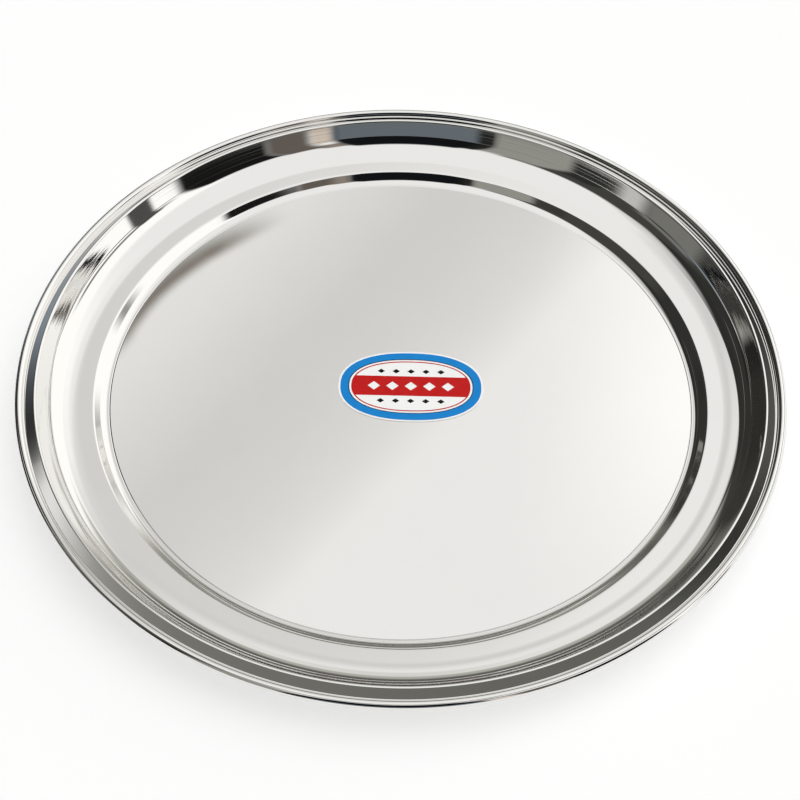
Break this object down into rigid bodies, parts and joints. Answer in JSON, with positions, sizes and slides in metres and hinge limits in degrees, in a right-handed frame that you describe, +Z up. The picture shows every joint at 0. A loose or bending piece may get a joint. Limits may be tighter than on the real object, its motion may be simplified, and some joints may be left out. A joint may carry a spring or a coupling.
{
  "type": "thali plate",
  "caption": "Round mirror-polished stainless steel thali plate with a flat floor, stepped border, steep low wall, rolled rim and an oval printed film label in the middle.",
  "frame": {"origin": "middle of the underside of the floor, on the surface the plate stands on", "axes": "+Z up along the plate's axis; +X along the label's length"},
  "size_m": [0.3, 0.3, 0.0162],
  "materials": {
    "polished_steel": "mirror-polished stainless steel",
    "white_film": "gloss vinyl film",
    "blue_ink": "gloss printed ink",
    "red_ink": "gloss printed ink",
    "black_ink": "gloss printed ink"
  },
  "bodies": {
    "root": {"plate": "polished_steel", "label_film": "white_film", "label_blue_print": "blue_ink", "label_red_print": "red_ink", "label_black_print": "black_ink"}
  },
  "joints": []
}
